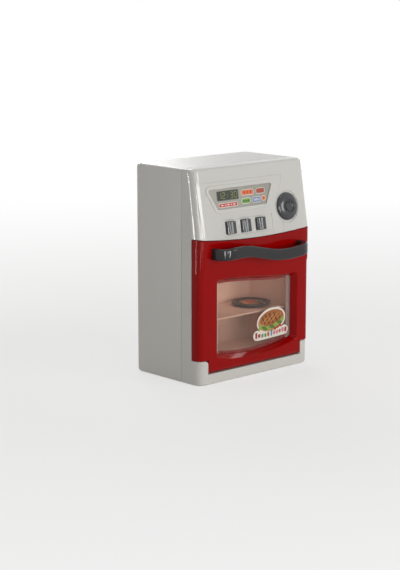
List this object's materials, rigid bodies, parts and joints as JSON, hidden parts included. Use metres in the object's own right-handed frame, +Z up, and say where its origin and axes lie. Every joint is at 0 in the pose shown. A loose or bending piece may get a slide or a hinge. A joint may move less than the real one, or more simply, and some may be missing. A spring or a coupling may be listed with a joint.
{
  "type": "toy oven",
  "caption": "Toy oven with a drop-down windowed door, wavy handle, leaning control panel with display, push buttons and dial, and a lit cavity with shelf and dish.",
  "frame": {"origin": "middle of the underside, at the middle of the bounding box in plan", "axes": "+Z up, the door faces -Y, +X to the viewer's right"},
  "size_m": [0.146, 0.109, 0.202],
  "materials": {
    "white_plastic": "gloss",
    "red_plastic": "high gloss",
    "grey_plastic": "gloss",
    "liner_plastic": "satin",
    "clear_plastic": "clear",
    "printed_film": "printed",
    "dish_plastic": "satin",
    "food_card": "printed",
    "steel": "zinc plated",
    "board_green": "satin",
    "black_plastic": "satin",
    "cell_sleeve": "gloss",
    "paper_black": "matte"
  },
  "bodies": {
    "casing": {"battery_1": "cell_sleeve", "battery_2": "cell_sleeve", "battery_contact_1": "steel", "battery_contact_2": "steel", "battery_contact_3": "steel", "battery_cover": "white_plastic", "battery_cover_screw": "steel", "battery_spring_1": "steel", "battery_spring_2": "steel", "board_screw_1": "steel", "board_screw_2": "steel", "button_spring_1": "steel", "button_spring_2": "steel", "button_spring_3": "steel", "case_screw_1": "steel", "case_screw_2": "steel", "case_screw_3": "steel", "case_screw_4": "steel", "circuit_board": "board_green", "dish": "dish_plastic", "display_label": "printed_film", "door_catch": "grey_plastic", "food_card": "food_card", "front_frame": "white_plastic", "lamp_board": "board_green", "lamp_led": "clear_plastic", "lamp_lens": "clear_plastic", "liner_screw_1": "steel", "liner_screw_2": "steel", "oven_liner": "liner_plastic", "oven_shelf": "liner_plastic", "rear_housing": "white_plastic", "sound_chip": "black_plastic", "speaker": "steel", "speaker_cone": "paper_black", "switch_body": "steel", "tact_switch_1": "black_plastic", "tact_switch_2": "black_plastic", "tact_switch_3": "black_plastic"},
    "door": {"door_shell": "red_plastic", "door_inner_frame": "red_plastic", "window_pane": "clear_plastic", "window_sticker": "printed_film", "handle": "grey_plastic", "handle_screw_1": "steel", "handle_screw_2": "steel", "inner_frame_screw_1": "steel", "inner_frame_screw_2": "steel", "inner_frame_screw_3": "steel", "inner_frame_screw_4": "steel", "hinge_pin_left": "steel", "hinge_pin_right": "steel"},
    "dial": {"knob": "grey_plastic", "knob_washer": "steel", "knob_screw": "steel"},
    "push_button_1": {"button_1": "grey_plastic"},
    "push_button_2": {"button_2": "grey_plastic"},
    "push_button_3": {"button_3": "grey_plastic"},
    "power_slider": {"switch_slider": "black_plastic"}
  },
  "joints": [
    {"name": "door_hinge", "type": "hinge", "parent": "casing", "child": "door", "pos_m": [0, -0.0313, 0.0149], "axis": [1, 0, 0], "range_deg": [0, 84]},
    {"name": "dial_turn", "type": "hinge", "parent": "casing", "child": "dial", "pos_m": [0.0435, -0.0329, 0.15839], "axis": [0, -0.9848, 0.1736], "continuous": true},
    {"name": "button_1_press", "type": "slide", "parent": "casing", "child": "push_button_1", "axis": [0, 0.9848, -0.1736], "range_m": [0, 0.0014], "stiffness_N_per_m": 300, "springref_m": -0.0008, "deforming": ["button_spring_1"]},
    {"name": "button_2_press", "type": "slide", "parent": "casing", "child": "push_button_2", "axis": [0, 0.9848, -0.1736], "range_m": [0, 0.0014], "stiffness_N_per_m": 300, "springref_m": -0.0008, "deforming": ["button_spring_2"]},
    {"name": "button_3_press", "type": "slide", "parent": "casing", "child": "push_button_3", "axis": [0, 0.9848, -0.1736], "range_m": [0, 0.0014], "stiffness_N_per_m": 300, "springref_m": -0.0008, "deforming": ["button_spring_3"]},
    {"name": "power_switch_slide", "type": "slide", "parent": "casing", "child": "power_slider", "axis": [1, 0, 0], "range_m": [0, 0.003]}
  ]
}
